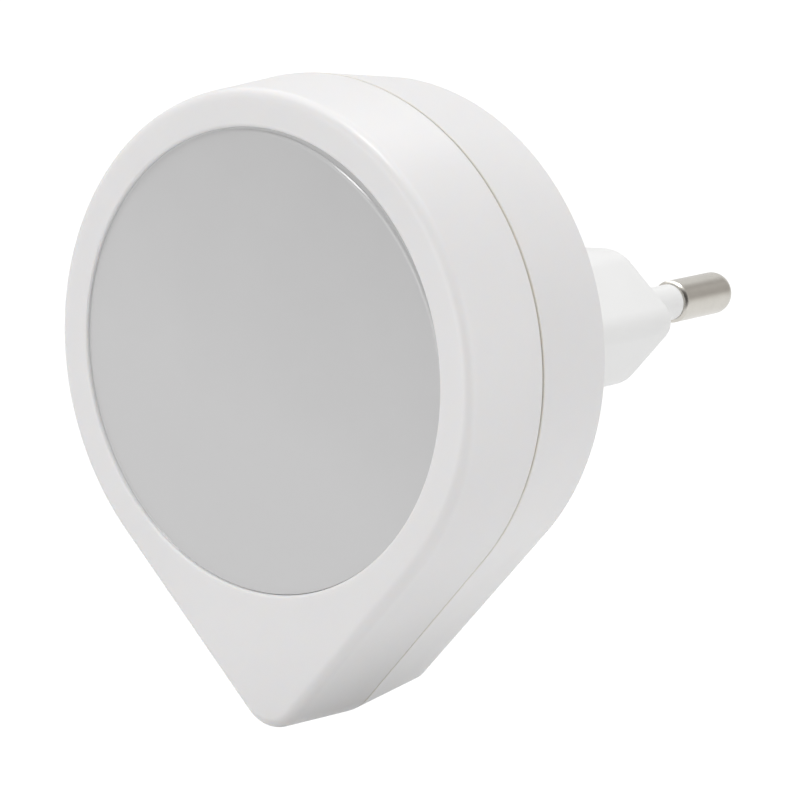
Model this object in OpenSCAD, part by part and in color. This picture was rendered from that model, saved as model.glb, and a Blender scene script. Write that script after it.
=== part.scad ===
// Plug-in night light: a drop-shaped casing in two shells, an opal round lens, a light box with six
// LEDs, a small mains driver, and a flat two-pin plug whose neck stands out of the back.
// Every piece is drawn as seen from the front: x to the right, y down, z into the wall, with z = 0 at
// the front face. seen_from_front() then stands it up, with the origin on the middle of the plug's face.

/* [Drop outline] */
// Radius of the round part at the parting line, where the casing is widest
body_r = 23.95; // [23.5:0.05:27]
// Distance from the middle of the round part down to the tip's lowest point
tip_reach = 32.15; // [31:0.05:38]
// Radius of the tip at the parting line
tip_r = 5.35; // [4.5:0.05:6]
// How much narrower the round part is all round at the front edge
front_taper = 0.68; // [0.2:0.02:0.8]
// How much higher the tip is at the front edge
front_tip_taper = 0.35; // [0.1:0.05:0.8]
// Radius of the tip at the front edge
front_tip_r = 3.7; // [3.2:0.05:5.5]
// How much narrower the round part is all round at the back edge
rear_taper = 0.97; // [0.2:0.01:1]
// How much higher the tip is at the back edge
rear_tip_taper = 0.73; // [0.1:0.01:1]
// Radius of the tip at the back edge
rear_tip_r = 3; // [2.6:0.05:5]

/* [Casing] */
// Depth of the front shell, from the front face to the parting line
front_depth = 8.65; // [8.6:0.05:11]
// Room for the driver, from the circuit board to the casing's back
driver_room = 7.65; // [7.2:0.05:13]
// Thickness of the side walls
wall = 1.6; // [1.4:0.05:1.9]
// Thickness of the front shell's face
face_t = 1.8; // [1.6:0.1:2]
// Thickness of the rear shell's back
back_t = 1.6; // [1.4:0.1:1.7]
// Rounding of the front edge
front_round = 1; // [0.5:0.05:1.4]
// Rounding of the back edge
rear_round = 0.35; // [0.2:0.05:0.8]
// Open joint that shows at the parting line
seam_gap = 0.12; // [0.08:0.01:0.2]
// Length of the rear shell's tongue inside the front shell
tongue_l = 1.5; // [1.2:0.1:1.8]
// Thickness of the tongue
tongue_t = 0.75; // [0.6:0.05:0.85]

/* [Lens] */
// Width of the white frame beside the round window, at the front edge
frame_w = 3.17; // [3:0.01:6]
// Chamfer of the window's edge
window_chamfer = 0.25; // [0.15:0.05:0.4]
// How far the lens lies behind the face
lens_recess = 0.45; // [0.3:0.05:0.8]
// Thickness of the lens
lens_t = 1.5; // [1.2:0.1:1.7]
// Rounding of the lens's edge
lens_round = 0.3; // [0.2:0.05:0.4]
// Thickness of the lens's flange
lens_flange_t = 1.2; // [1:0.1:1.4]

/* [Light box] */
// Depth of the reflector, from the lens to the circuit board
reflector_depth = 5.4; // [5.2:0.1:5.5]
// Radius of the reflector's floor, round the LEDs
reflector_floor_r = 12.6; // [11:0.1:13]
// Thickness of the reflector
reflector_t = 1; // [0.8:0.1:1]
// Thickness of the circuit board
board_t = 1.2; // [1:0.1:1.4]
// Radius of the circle that the LEDs stand on
led_ring_r = 7.5; // [5:0.1:9.5]

/* [Plug] */
// Length of the plug's neck, from the back of the casing to the plug's face
neck_l = 18.75; // [17:0.05:24]
// Width of the neck across its side corners
neck_w = 35.3; // [34:0.1:37]
// Height of the neck
neck_h = 12.6; // [12.2:0.1:14]
// Rounding of the neck's side corners
side_corner_r = 2; // [1.5:0.1:3]
// Rounding of the corners between slants and flats
slant_corner_r = 4; // [3:0.1:5]
// Thickness of the neck's wall
neck_wall = 2; // [1.6:0.1:2.2]
// Thickness of the neck's end, which holds the pins
neck_end_t = 5; // [4.6:0.1:7]
// Distance between the pins at the plug's face
pin_spacing = 18.6; // [18:0.1:19.2]
// Lean of each pin towards the other, in degrees
pin_lean = 1; // [0:0.1:1.2]
// Radius of a pin's bare end
pin_r = 2; // [1.9:0.05:2.1]
// Length of a pin beyond the plug's face
pin_l = 19.4; // [18.5:0.1:19.5]
// Length of a pin's bare end
bare_l = 9.2; // [8.5:0.1:10]
// Rounding of a pin's nose
nose_round = 1.5; // [0.8:0.1:1.7]
// Radius of the plastic sleeve on a pin
sleeve_r = 1.7; // [1.6:0.05:1.85]

/* [Hidden] */
$fn = 96;

casing_white = [0.93, 0.93, 0.92];
plug_white = [0.95, 0.95, 0.95];
opal_grey = [0.8, 0.8, 0.79];
nickel = [0.72, 0.7, 0.66];
steel = [0.6, 0.6, 0.62];
board_green = [0.12, 0.38, 0.2];
led_yellow = [0.95, 0.85, 0.45];
capacitor_yellow = [0.85, 0.65, 0.15];
part_black = [0.1, 0.1, 0.11];
resistor_tan = [0.75, 0.66, 0.5];
lead_brown = [0.4, 0.25, 0.15];
lead_blue = [0.15, 0.3, 0.65];

cut = 0.5; // how far a cutting shape runs past what it cuts
overlap = 0.4; // how far two shapes of one piece run into each other
slip = 0.1; // clearance between pieces that slide together
body_steps = 80; // steps of the drop's round part
tip_steps = 12; // steps of its tip
edge_steps = 5; // steps of a small rounding
corner_steps = 6; // steps of a corner of the neck

rim_z = front_depth + seam_gap; // the rear shell's rim
tongue_z = front_depth - tongue_l; // the end of its tongue
rebate = wall - tongue_t - slip / 2; // what is left of the front shell's wall beside the tongue

// The stack, from the front face to the plug's face
lens_back_z = face_t + lens_flange_t;
board_z = lens_back_z + reflector_depth;
board_back_z = board_z + board_t;
back_z = board_back_z + driver_room; // the rear shell's inner face
case_depth = back_z + back_t;
plug_reach = case_depth + neck_l;

// Outlines of the drop, each as [radius of the round part, reach of the tip, radius of the tip]
parting = [body_r, tip_reach, tip_r];
front_edge = [body_r - front_taper, tip_reach - front_tip_taper, front_tip_r];
back_edge = [body_r - rear_taper, tip_reach - rear_tip_taper, rear_tip_r];

// Window and lens, whose flange fills the front shell
window_r = body_r - front_taper - frame_w;
lens_r = window_r - 0.08;
flange_r = body_r - front_taper - wall - 0.27;

// Pads round the lens's flange, on the front shell
pad_w = 2;
pad_t = 1;
pad_h = 2.4;

// Three screws hold reflector and board on pillars of the rear shell
board_r = body_r - wall - 1.25;
screw_count = 3;
screw_ring_r = board_r - 2.3;
screw_r = 1;
screw_hole_r = 1.15;
screw_head_r = 1.7;
screw_head_t = 1.1;
screw_bite = 5;
ear_r = 2.2;
ear_t = 1;
pillar_r = 2.1;
pillar_foot_r = 2.4;
pillar_bore_r = screw_r + 0.02;
tip_rib_t = 1;

// Three snap arms of the front shell hook behind ribs of the rear shell
arm_w = 6;
arm_t = 1.2;
arm_r = body_r - wall - 1.45; // outer side of an arm
arm_root_z = front_depth - tongue_l - 2.2;
arm_root_l = 1.5;
catch_z = front_depth + 1.6;
catch_t = 1;
catch_reach = 0.15; // gap between an arm and its rib
hook_l = 1.2;
hook_depth = 0.9;

// The plug's flange lies in the rear shell, under four small hooks
flange_w = 1.8;
flange_t = 1.5;
clip_w = 5;
clip_t = 1.1;
clip_nose = 0.7;
clip_x = 6;

// LEDs
led_l = 3.5;
led_w = 2.8;
led_h = 0.8;
led_dome_r = 1.1;

// Parts of the driver, behind the board
film_l = 13;
film_w = 11;
film_h = 5;
film_bevel = 0.6;
can_r = 3.15;
can_l = 11;
rectifier_w = 4.8;
rectifier_h = 2.4;
fuse_r = 1.5;
fuse_l = 8;
bleed_r = 1.2;
bleed_l = 6;
zener_r = 1.3;
zener_l = 4.2;
leg_r = 0.3;
leg_reach = 1.5; // how far an axial part's legs stand out of its body before they bend down

// Inside the neck
neck_floor_z = plug_reach - neck_end_t;
clamp_t = 2.4;
pin_core_r = 1.25;
pin_head_r = 2.8;
pin_head_t = 1.2;
pin_tail_r = 1;
pin_tail_l = 2.6;
sleeve_sink = 2.5; // how far a sleeve starts inside the plug's face
collar_gap = 0.15; // dark gap between sleeve and bare metal
collar_edge = 0.15;
clamp_screw_r = 1.2;
clamp_screw_head_r = 2.4;
clamp_screw_head_t = 1.5;
clamp_screw_bite = neck_end_t - 1.4;

function polar(a, d) = [d * cos(a), d * sin(a)];
function arc(centre, r, from, to, steps) =
    [for (i = [0:steps]) centre + polar(from + i * (to - from) / steps, r)];

module seen_from_front() {
    translate([0, -plug_reach, 0]) rotate([-90, 0, 0]) children();
}

module ring_of(count, start = 0) {
    for (i = [0:count - 1]) rotate([0, 0, start + i * 360 / count]) children();
}

// The drop's outline: a large circle, a small one below it and their two outer tangents
function drop(outline, grow = 0) = let (
        r = outline[0] + grow, t = outline[2] + grow, d = outline[1] - outline[2],
        flank = acos((r - t) / d))
    concat(arc([0, 0], r, 90 + flank, 450 - flank, body_steps),
        arc([0, d], t, 90 - flank, 90 + flank, tip_steps));

// The outline of either shell's side at depth z
function mix(a, b, share) = a + (b - a) * share;
function front_side(z) = mix(front_edge, parting, (z - front_round) / (front_depth - front_round));
function rear_side(z) = mix(parting, back_edge, (z - rim_z) / (case_depth - rear_round - rim_z));
function side_at(z) = z < rim_z ? front_side(z) : rear_side(z);

// A ring of points at depth z, for loft()
function ring(outline, grow, z) = [for (p = drop(outline, grow)) [p[0], p[1], z]];

// A solid between rings that all have the same number of points, given from front to back
module loft(rings) {
    n = len(rings[0]);
    last = (len(rings) - 1) * n;
    polyhedron(
        points = [for (r = rings) each r],
        faces = concat(
            [[for (i = [0:n - 1]) i], [for (i = [n - 1:-1:0]) last + i]],
            [for (k = [0:len(rings) - 2], i = [0:n - 1]) let (j = (i + 1) % n, a = k * n, b = a + n)
                [a + i, b + i, b + j, a + j]]));
}

// A snap arm, as a section with x away from the middle, standing on the front shell's wall
module snap_arm() {
    hook_z = catch_z + catch_t + 0.05;
    rotate([90, 0, 0]) linear_extrude(arm_w, center = true) polygon([
        [arm_r - arm_t, arm_root_z], [body_r - wall + overlap, arm_root_z],
        [body_r - wall + overlap, arm_root_z + arm_root_l], [arm_r, arm_root_z + arm_root_l],
        [arm_r, hook_z], [arm_r + hook_depth, hook_z], [arm_r, hook_z + hook_l],
        [arm_r - arm_t, hook_z + hook_l]]);
}

module front_shell() {
    color(casing_white) seen_from_front() {
        difference() {
            union() {
                difference() {
                    loft(concat(
                        [for (i = [0:edge_steps]) let (a = 90 * i / edge_steps)
                            ring(front_edge, -front_round * (1 - sin(a)), front_round * (1 - cos(a)))],
                        [ring(parting, 0, front_depth)]));
                    loft([for (z = [face_t, front_depth + cut]) ring(front_side(z), -wall, z)]);
                    loft([for (z = [tongue_z, front_depth + cut]) ring(front_side(z), -rebate, z)]);
                }
                // pads that keep the lens's flange in the middle, where the casing widens to its tip
                for (turn = [60, 90, 120]) rotate([0, 0, turn])
                    translate([flange_r + slip, -pad_w / 2, face_t - overlap])
                        cube([pad_t, pad_w, pad_h + overlap]);
            }
            translate([0, 0, -cut]) cylinder(h = face_t + 2 * cut, r = window_r);
            translate([0, 0, -cut])
                cylinder(h = window_chamfer + cut, r1 = window_r + window_chamfer + cut, r2 = window_r);
        }
        ring_of(screw_count, -90) snap_arm();
    }
}

// The neck's outline: a flat hexagon with 45 degree slants and rounded corners
function hexagon(grow) = let (
        w = neck_w / 2 + grow * sqrt(2), h = neck_h / 2 + grow,
        rs = max(side_corner_r + grow, 0.2), rt = max(slant_corner_r + grow, 0.2),
        side = [w - rs * sqrt(2), 0], slant = [w - h - rt * tan(22.5), h - rt])
    concat(
        arc(side, rs, -45, 45, corner_steps), arc(slant, rt, 45, 90, corner_steps),
        arc([-slant[0], slant[1]], rt, 90, 135, corner_steps),
        arc(-side, rs, 135, 225, corner_steps),
        arc(-slant, rt, 225, 270, corner_steps),
        arc([slant[0], -slant[1]], rt, 270, 315, corner_steps));

module hexagonal(from, to, grow = 0) {
    translate([0, 0, from]) linear_extrude(to - from) polygon(hexagon(grow));
}

// A pillar for one board screw, on the rear shell's back
module pillar() {
    translate([screw_ring_r, 0, board_back_z])
        cylinder(h = back_z + overlap - board_back_z, r1 = pillar_r, r2 = pillar_foot_r);
}

// A rib that a snap arm hooks behind
module catch_rib() {
    inner = arm_r + catch_reach;
    translate([inner, -arm_w / 2, catch_z]) cube([body_r - wall + overlap - inner, arm_w, catch_t]);
}

// A small hook that holds the plug's flange down
module flange_clip() {
    edge = neck_h / 2 + flange_w + slip;
    top = back_z - flange_t;
    translate([clip_w / 2, 0, 0]) rotate([0, -90, 0]) linear_extrude(clip_w) polygon([
        [back_z + overlap, edge], [back_z + overlap, edge + clip_t], [top - 0.9, edge + clip_t],
        [top - 0.9, edge], [top, edge - clip_nose], [top, edge]]);
}

// The rear shell's wall, back and tongue
module rear_casing() {
    difference() {
        union() {
            loft(concat(
                [ring(parting, 0, rim_z)],
                [for (i = [0:edge_steps]) let (a = 90 * i / edge_steps)
                    ring(back_edge, -rear_round * (1 - cos(a)), case_depth - rear_round * (1 - sin(a)))]));
            loft([for (z = [tongue_z, rim_z + overlap]) ring(front_side(z), -wall + tongue_t, z)]);
        }
        loft([for (z = [tongue_z - cut, rim_z, back_z]) ring(side_at(z), -wall, z)]);
    }
}

module rear_shell() {
    rib_start = screw_ring_r + pillar_r / 2;
    rib_z = board_back_z + 2;
    rib_end = tip_reach - rear_tip_taper - wall + overlap / 2;
    color(casing_white) seen_from_front() difference() {
        union() {
            rear_casing();
            ring_of(screw_count, 90) pillar();
            ring_of(screw_count, -90) catch_rib();
            for (x = [-clip_x, clip_x], turn = [0, 180])
                translate([x, 0, 0]) rotate([0, 0, turn]) flange_clip();
            // stiffens the tip
            translate([-tip_rib_t / 2, rib_start, rib_z])
                cube([tip_rib_t, rib_end - rib_start, back_z + overlap - rib_z]);
        }
        hexagonal(back_z - flange_t, case_depth + cut, slip);
        ring_of(screw_count, 90) translate([screw_ring_r, 0, board_back_z - cut])
            cylinder(h = screw_bite + cut + 0.5, r = pillar_bore_r);
    }
}

module diffuser() {
    hollow_r = window_r - 1.2;
    color(opal_grey) seen_from_front() rotate_extrude() polygon(concat(
        [[0, lens_recess]],
        arc([lens_r - lens_round, lens_recess + lens_round], lens_round, -90, 0, 4),
        [[lens_r, face_t], [flange_r, face_t], [flange_r, lens_back_z], [hollow_r, lens_back_z],
         [hollow_r, lens_recess + lens_t], [0, lens_recess + lens_t]]));
}

module reflector() {
    mouth_r = window_r - 0.9;
    color(plug_white) seen_from_front() difference() {
        union() {
            rotate_extrude() polygon([
                [flange_r, lens_back_z], [mouth_r, lens_back_z],
                [reflector_floor_r, board_z - reflector_t], [reflector_floor_r, board_z],
                [reflector_floor_r + reflector_t, board_z],
                [mouth_r + reflector_t, lens_back_z + reflector_t],
                [flange_r, lens_back_z + reflector_t]]);
            ring_of(screw_count, 90) translate([0, 0, board_z - ear_t]) {
                translate([screw_ring_r, 0, 0]) cylinder(h = ear_t, r = ear_r);
                translate([reflector_floor_r + 0.5, -1.8, 0])
                    cube([screw_ring_r - reflector_floor_r - 0.5, 3.6, ear_t]);
            }
        }
        ring_of(screw_count, 90) translate([screw_ring_r, 0, board_z - ear_t - cut])
            cylinder(h = ear_t + 2 * cut, r = screw_hole_r);
    }
}

module circuit_board() {
    notch_r = arm_r - arm_t - 0.3;
    color(board_green) seen_from_front() translate([0, 0, board_z]) difference() {
        cylinder(h = board_t, r = board_r);
        ring_of(screw_count, 90) translate([screw_ring_r, 0, -cut])
            cylinder(h = board_t + 2 * cut, r = screw_hole_r);
        ring_of(screw_count, -90) translate([notch_r, -arm_w / 2 - 0.25, -cut])
            cube([board_r - notch_r + cut, arm_w + 0.5, board_t + 2 * cut]);
    }
}

module led(number) {
    color(led_yellow) seen_from_front() rotate([0, 0, (number - 1) * 60])
        translate([led_ring_r, 0, board_z - led_h]) difference() {
            translate([-led_w / 2, -led_l / 2, 0]) cube([led_w, led_l, led_h]);
            translate([0, 0, -cut]) cylinder(h = cut + led_h / 3, r = led_dome_r);
        }
}

module board_screws() {
    head_z = board_z - ear_t - screw_head_t;
    color(steel) seen_from_front() ring_of(screw_count, 90) translate([screw_ring_r, 0, head_z])
        difference() {
            rotate_extrude() polygon([[0, 0], [screw_head_r - 0.4, 0], [screw_head_r, 0.4],
                [screw_head_r, screw_head_t], [screw_r, screw_head_t],
                [screw_r, screw_head_t + ear_t + board_t + screw_bite - 0.8],
                [0.3, screw_head_t + ear_t + board_t + screw_bite]]);
            for (turn = [0, 90]) rotate([0, 0, turn]) translate([-1, -0.2, -cut]) cube([2, 0.4, cut + 0.6]);
        }
}

module film_capacitor() {
    top = -(arm_r - arm_t - 0.5);
    color(capacitor_yellow) seen_from_front() translate([0, top, board_back_z]) linear_extrude(film_h)
        polygon([[-film_l / 2 + film_bevel, 0], [film_l / 2 - film_bevel, 0], [film_l / 2, film_bevel],
            [film_l / 2, film_w - film_bevel], [film_l / 2 - film_bevel, film_w],
            [-film_l / 2 + film_bevel, film_w], [-film_l / 2, film_w - film_bevel],
            [-film_l / 2, film_bevel]]);
}

module smoothing_capacitor() {
    groove_x = can_r / 2;
    groove = can_r / 9;
    bevel = can_r / 10;
    y = screw_ring_r - pillar_foot_r - can_r - 0.65;
    color(part_black) seen_from_front()
        translate([-can_l / 2, y, board_back_z + can_r]) rotate([0, 90, 0]) rotate_extrude()
            polygon([[0, 0], [can_r - bevel, 0], [can_r, bevel], [can_r, groove_x - groove],
                [can_r - groove, groove_x], [can_r, groove_x + groove], [can_r, can_l - bevel],
                [can_r - bevel, can_l], [0, can_l]]);
}

module bridge_rectifier() {
    half = rectifier_w / 2;
    place = polar(135, board_r - 4.85);
    lead_w = rectifier_w / 7;
    color(part_black) seen_from_front() translate([place[0], place[1], board_back_z]) {
        linear_extrude(rectifier_h) polygon([[-half, -0.8 * half], [half, -0.8 * half],
            [half, 0.65 * half], [0.85 * half, 0.8 * half], [-half, 0.8 * half]]);
        for (x = [-half / 2, half / 2], side = [-1, 1])
            translate([x - lead_w / 2, side > 0 ? 0.75 * half : -1.25 * half, 0])
                cube([lead_w, half / 2, lead_w / 2]);
    }
}

// A round component lying on the board along y, with its two legs bent down into the board
module axial(place, r, length) {
    cap_l = 0.15 * length;
    waist = r - 0.25;
    pitch = length + 2 * leg_reach;
    z = board_back_z + r + 0.2;
    translate([place[0], place[1] - length / 2, z]) rotate([-90, 0, 0]) rotate_extrude()
        polygon([[0, 0], [r - 0.3, 0], [r, 0.3], [r, cap_l], [waist, cap_l + 0.4],
            [waist, length - cap_l - 0.4], [r, length - cap_l], [r, length - 0.3],
            [r - 0.3, length], [0, length]]);
    translate([place[0], place[1] - pitch / 2, z]) rotate([-90, 0, 0])
        cylinder(h = pitch, r = leg_r);
    for (end = [-1, 1]) translate([place[0], place[1] + end * (pitch / 2 - leg_r), board_back_z])
        cylinder(h = r + 0.4, r = leg_r);
}

module zener_diode() {
    color(part_black) seen_from_front() axial(polar(45, board_r - 4.1), zener_r, zener_l);
}

module fusible_resistor() {
    color(resistor_tan) seen_from_front() axial([5.9 - board_r, -1], fuse_r, fuse_l);
}

module bleed_resistor() {
    color(resistor_tan) seen_from_front() axial([board_r - 5.9, -1], bleed_r, bleed_l);
}

// The frame of one pin: z along the pin, with z = 0 at the plug's face
module along_pin(side) {
    translate([side * pin_spacing / 2, 0, plug_reach]) rotate([0, -side * pin_lean, 0]) children();
}

module plug_body() {
    color(plug_white) seen_from_front() difference() {
        union() {
            hexagonal(back_z - flange_t, plug_reach);
            hexagonal(back_z - flange_t, back_z, flange_w);
        }
        hexagonal(back_z - flange_t - cut, neck_floor_z, -neck_wall);
        for (side = [-1, 1]) along_pin(side) {
            translate([0, 0, -sleeve_sink]) cylinder(h = sleeve_sink + cut, r = sleeve_r + slip);
            translate([0, 0, -neck_end_t - cut])
                cylinder(h = neck_end_t + cut, r = pin_core_r + 0.02);
            translate([0, 0, -neck_end_t - cut])
                cylinder(h = pin_head_t + cut, r = pin_head_r + slip);
        }
        translate([0, 0, neck_floor_z - cut])
            cylinder(h = clamp_screw_bite + cut + 0.4, r = clamp_screw_r + 0.02);
    }
}

module pin_clamp() {
    color(plug_white) seen_from_front() difference() {
        hexagonal(neck_floor_z - clamp_t, neck_floor_z, -neck_wall - slip);
        for (side = [-1, 1]) along_pin(side)
            translate([0, 0, -neck_end_t - clamp_t - cut])
                cylinder(h = clamp_t + 2 * cut, r = pin_tail_r + 0.2);
        translate([0, 0, neck_floor_z - clamp_t - cut])
            cylinder(h = clamp_t + 2 * cut, r = clamp_screw_r + 0.2);
    }
}

module clamp_screw() {
    head_z = neck_floor_z - clamp_t - clamp_screw_head_t;
    tip_z = clamp_screw_head_t + clamp_t + clamp_screw_bite;
    color(steel) seen_from_front() translate([0, 0, head_z]) difference() {
        rotate_extrude() polygon([[0, 0], [clamp_screw_head_r - 0.5, 0], [clamp_screw_head_r, 0.5],
            [clamp_screw_head_r, clamp_screw_head_t], [clamp_screw_r, clamp_screw_head_t],
            [clamp_screw_r, tip_z - 1], [0.3, tip_z]]);
        for (turn = [0, 90]) rotate([0, 0, turn]) translate([-1.4, -0.25, -cut]) cube([2.8, 0.5, cut + 0.9]);
    }
}

module pin(side) {
    head_z = -neck_end_t + pin_head_t;
    tail_z = -neck_end_t - clamp_t - pin_tail_l;
    bare_z = pin_l - bare_l;
    color(nickel) seen_from_front() along_pin(side) rotate_extrude() polygon(concat(
        [[0, tail_z], [pin_tail_r, tail_z], [pin_tail_r, -neck_end_t], [pin_head_r, -neck_end_t],
         [pin_head_r, head_z], [pin_core_r, head_z], [pin_core_r, bare_z],
         [pin_r - collar_edge, bare_z], [pin_r, bare_z + collar_edge]],
        arc([pin_r - nose_round, pin_l - nose_round], nose_round, 0, 90, 8),
        [[0, pin_l]]));
}

module sleeve(side) {
    bottom = -sleeve_sink;
    top = pin_l - bare_l - collar_gap;
    color(plug_white) seen_from_front() along_pin(side) rotate_extrude() polygon([
        [pin_core_r + 0.02, bottom], [sleeve_r, bottom], [sleeve_r, top - 0.1], [sleeve_r - 0.1, top],
        [pin_core_r + 0.02, top]]);
}

// A wire that runs along z and turns by an angle towards -x; what follows starts at its end
module bend(angle, radius, r) {
    translate([-radius, 0, 0]) {
        rotate([90, 0, 0]) rotate_extrude(angle = angle) translate([radius, 0]) circle(r);
        rotate([0, -angle, 0]) translate([radius, 0, 0]) children();
    }
}

module straight(length, r) {
    cylinder(h = length, r = r);
    translate([0, 0, length]) children();
}

// A lead from a pin's tail: straight out of the neck, a step sideways, and down into the board
module lead(side) {
    lead_r = 0.8;
    bend_r = 2;
    last_l = 1.6;
    tail = neck_end_t + clamp_t + pin_tail_l;
    start_x = pin_spacing / 2 + tail * sin(pin_lean);
    start_z = plug_reach - tail * cos(pin_lean) - 0.02;
    first_l = start_z - board_back_z - 2 * bend_r - last_l;
    seen_from_front() translate([side * start_x, 0, start_z]) rotate([0, 180, 0])
        straight(first_l, lead_r) rotate([0, 0, -90]) bend(90, bend_r, lead_r)
            straight(1, lead_r) rotate([0, 0, 180]) bend(90, bend_r, lead_r)
                straight(last_l, lead_r);
}

module live_lead() {
    color(lead_brown) lead(1);
}

module neutral_lead() {
    color(lead_blue) lead(-1);
}

front_shell();
rear_shell();
diffuser();
reflector();
circuit_board();
led(1);  // led_1
led(2);  // led_2
led(3);  // led_3
led(4);  // led_4
led(5);  // led_5
led(6);  // led_6
film_capacitor();
smoothing_capacitor();
bridge_rectifier();
zener_diode();
fusible_resistor();
bleed_resistor();
board_screws();
plug_body();
pin_clamp();
clamp_screw();
pin(-1);  // left_pin
pin(1);  // right_pin
sleeve(-1);  // left_sleeve
sleeve(1);  // right_sleeve
live_lead();
neutral_lead();
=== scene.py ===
"""A plug-in night light: drop-shaped casing, opal lens and two-pin plug, dressed round its CAD frame."""
from math import cos, pi, radians, sin, sqrt, tan

import bmesh
import bpy
from bpy.props import FloatProperty, FloatVectorProperty, IntProperty, PointerProperty
from mathutils import Matrix, Vector


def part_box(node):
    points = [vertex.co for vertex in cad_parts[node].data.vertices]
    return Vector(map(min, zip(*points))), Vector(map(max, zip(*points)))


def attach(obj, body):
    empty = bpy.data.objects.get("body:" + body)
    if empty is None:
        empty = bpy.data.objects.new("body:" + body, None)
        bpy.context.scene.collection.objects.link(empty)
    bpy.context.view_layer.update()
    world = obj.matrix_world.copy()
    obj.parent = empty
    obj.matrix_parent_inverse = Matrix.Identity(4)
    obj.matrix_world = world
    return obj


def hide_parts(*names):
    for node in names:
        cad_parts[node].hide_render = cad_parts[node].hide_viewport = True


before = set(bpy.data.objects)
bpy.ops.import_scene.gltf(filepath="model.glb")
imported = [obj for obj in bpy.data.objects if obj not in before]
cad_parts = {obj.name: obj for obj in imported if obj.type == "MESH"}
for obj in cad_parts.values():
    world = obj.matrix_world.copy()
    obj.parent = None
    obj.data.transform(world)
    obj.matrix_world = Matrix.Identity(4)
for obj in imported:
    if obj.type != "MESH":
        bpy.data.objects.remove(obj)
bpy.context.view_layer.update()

bl_info = {
    "name": "Plug-in Night Light",
    "version": (1, 0, 0),
    "blender": (4, 5, 0),
    "location": "View3D > Sidebar > Night Light",
    "description": "Casing, lens, plug and pins of a small night light, with their finishes and a stage",
    "category": "Object",
}

MM = 0.001
# Points closer than this, in metres, are one point
TINY = 1e-6
# Edges that bend more than this are sharp
SHARP = radians(32)
# Least rounding of the neck's corners
LEAST_CORNER = 0.2 * MM
# Steps round the window and lens, a pin, a sleeve's well and each corner of the neck
WINDOW_STEPS, PIN_STEPS, WELL_STEPS, CORNER_STEPS = 288, 96, 48, 12
# Sine and cosine at the steps of a quarter turn, for rounded edges
QUARTER = [(sin(radians(a)), cos(radians(a))) for a in range(0, 91, 15)]

# Places that the CAD frame gives
FRONT_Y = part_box("front_shell")[0].y
BACK_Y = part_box("rear_shell")[1].y
ROUND_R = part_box("front_shell")[1].x
TIP_REACH = -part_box("front_shell")[0].z
LENS_Y, LENS_BACK_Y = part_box("diffuser")[0].y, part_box("diffuser")[1].y
FLANGE_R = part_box("diffuser")[1].x
PLUG_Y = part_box("plug_body")[1].y


# ------------------------------------------------------------
# Sizes and colours

def length(name, description, default):
    """A length in metres, given in millimetres."""
    return FloatProperty(name=name, description=description, default=default * MM, min=0,
                         unit='LENGTH', precision=5)


def angle(name, description, default):
    """An angle, given in degrees."""
    return FloatProperty(name=name, description=description, default=radians(default),
                         subtype='ANGLE', unit='ROTATION')


def share_of(name, description, default):
    """A share, from 0 to 1."""
    return FloatProperty(name=name, description=description, default=default, min=0, max=1)


def colour(name, description, default):
    """A colour, given as red, green and blue."""
    return FloatVectorProperty(name=name, description=description, default=default, min=0, max=1,
                               size=3, subtype='COLOR')


class CasingSizes(bpy.types.PropertyGroup):
    tip_r: length("Tip Radius", "Radius of the tip at the parting line", 5.35)
    front_taper: length("Front Taper", "How much narrower the round part is at the front edge", 0.68)
    front_tip_taper: length("Front Tip Taper", "How much higher the tip is at the front edge", 0.35)
    front_tip_r: length("Front Tip Radius", "Radius of the tip at the front edge", 3.7)
    rear_taper: length("Rear Taper", "How much narrower the round part is at the back edge", 0.97)
    rear_tip_taper: length("Rear Tip Taper", "How much higher the tip is at the back edge", 0.73)
    rear_tip_r: length("Rear Tip Radius", "Radius of the tip at the back edge", 3.0)
    front_depth: length("Front Depth", "Depth of the front shell", 8.65)
    front_round: length("Front Rounding", "Rounding of the front edge", 1.0)
    rear_round: length("Rear Rounding", "Rounding of the back edge", 0.35)
    wall: length("Wall", "Thickness of the side walls", 1.6)
    face_t: length("Face", "Thickness of the front shell's face", 1.8)
    back_t: length("Back", "Thickness of the rear shell's back", 1.6)
    frame_w: length("Frame Width", "Width of the white frame beside the window", 3.32)
    window_round: length("Window Rounding", "Rounding of the window's edge at the upper right", 0.35)
    window_least: share_of("Least Window Rounding", "Rounding opposite it, as a share of that", 0.6)
    seam_gap: length("Seam Gap", "Open joint at the parting line", 0.18)
    seam_round: length("Seam Rounding", "Rounding of the two edges at the joint", 0.12)
    seam_close: length("Seam Closing", "How much narrower the joint is at the tip", 0.14)
    # Half width of the painted shade along the joint: a darker, warmer line where the shells meet
    seam_shade_half: length("Seam Tint", "Half width of the warmer line along the joint", 0.2)
    tongue_l: length("Tongue Length", "How far the rear shell's tongue reaches into the front shell", 1.5)
    tongue_t: length("Tongue Thickness", "Thickness of the tongue", 0.75)
    slip: length("Slip", "Clearance between pieces that slide together", 0.1)
    round_steps: IntProperty(name="Round Steps", description="Steps of the round part", default=240, min=12)
    tip_steps: IntProperty(name="Tip Steps", description="Steps of the tip", default=48, min=4)


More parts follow.
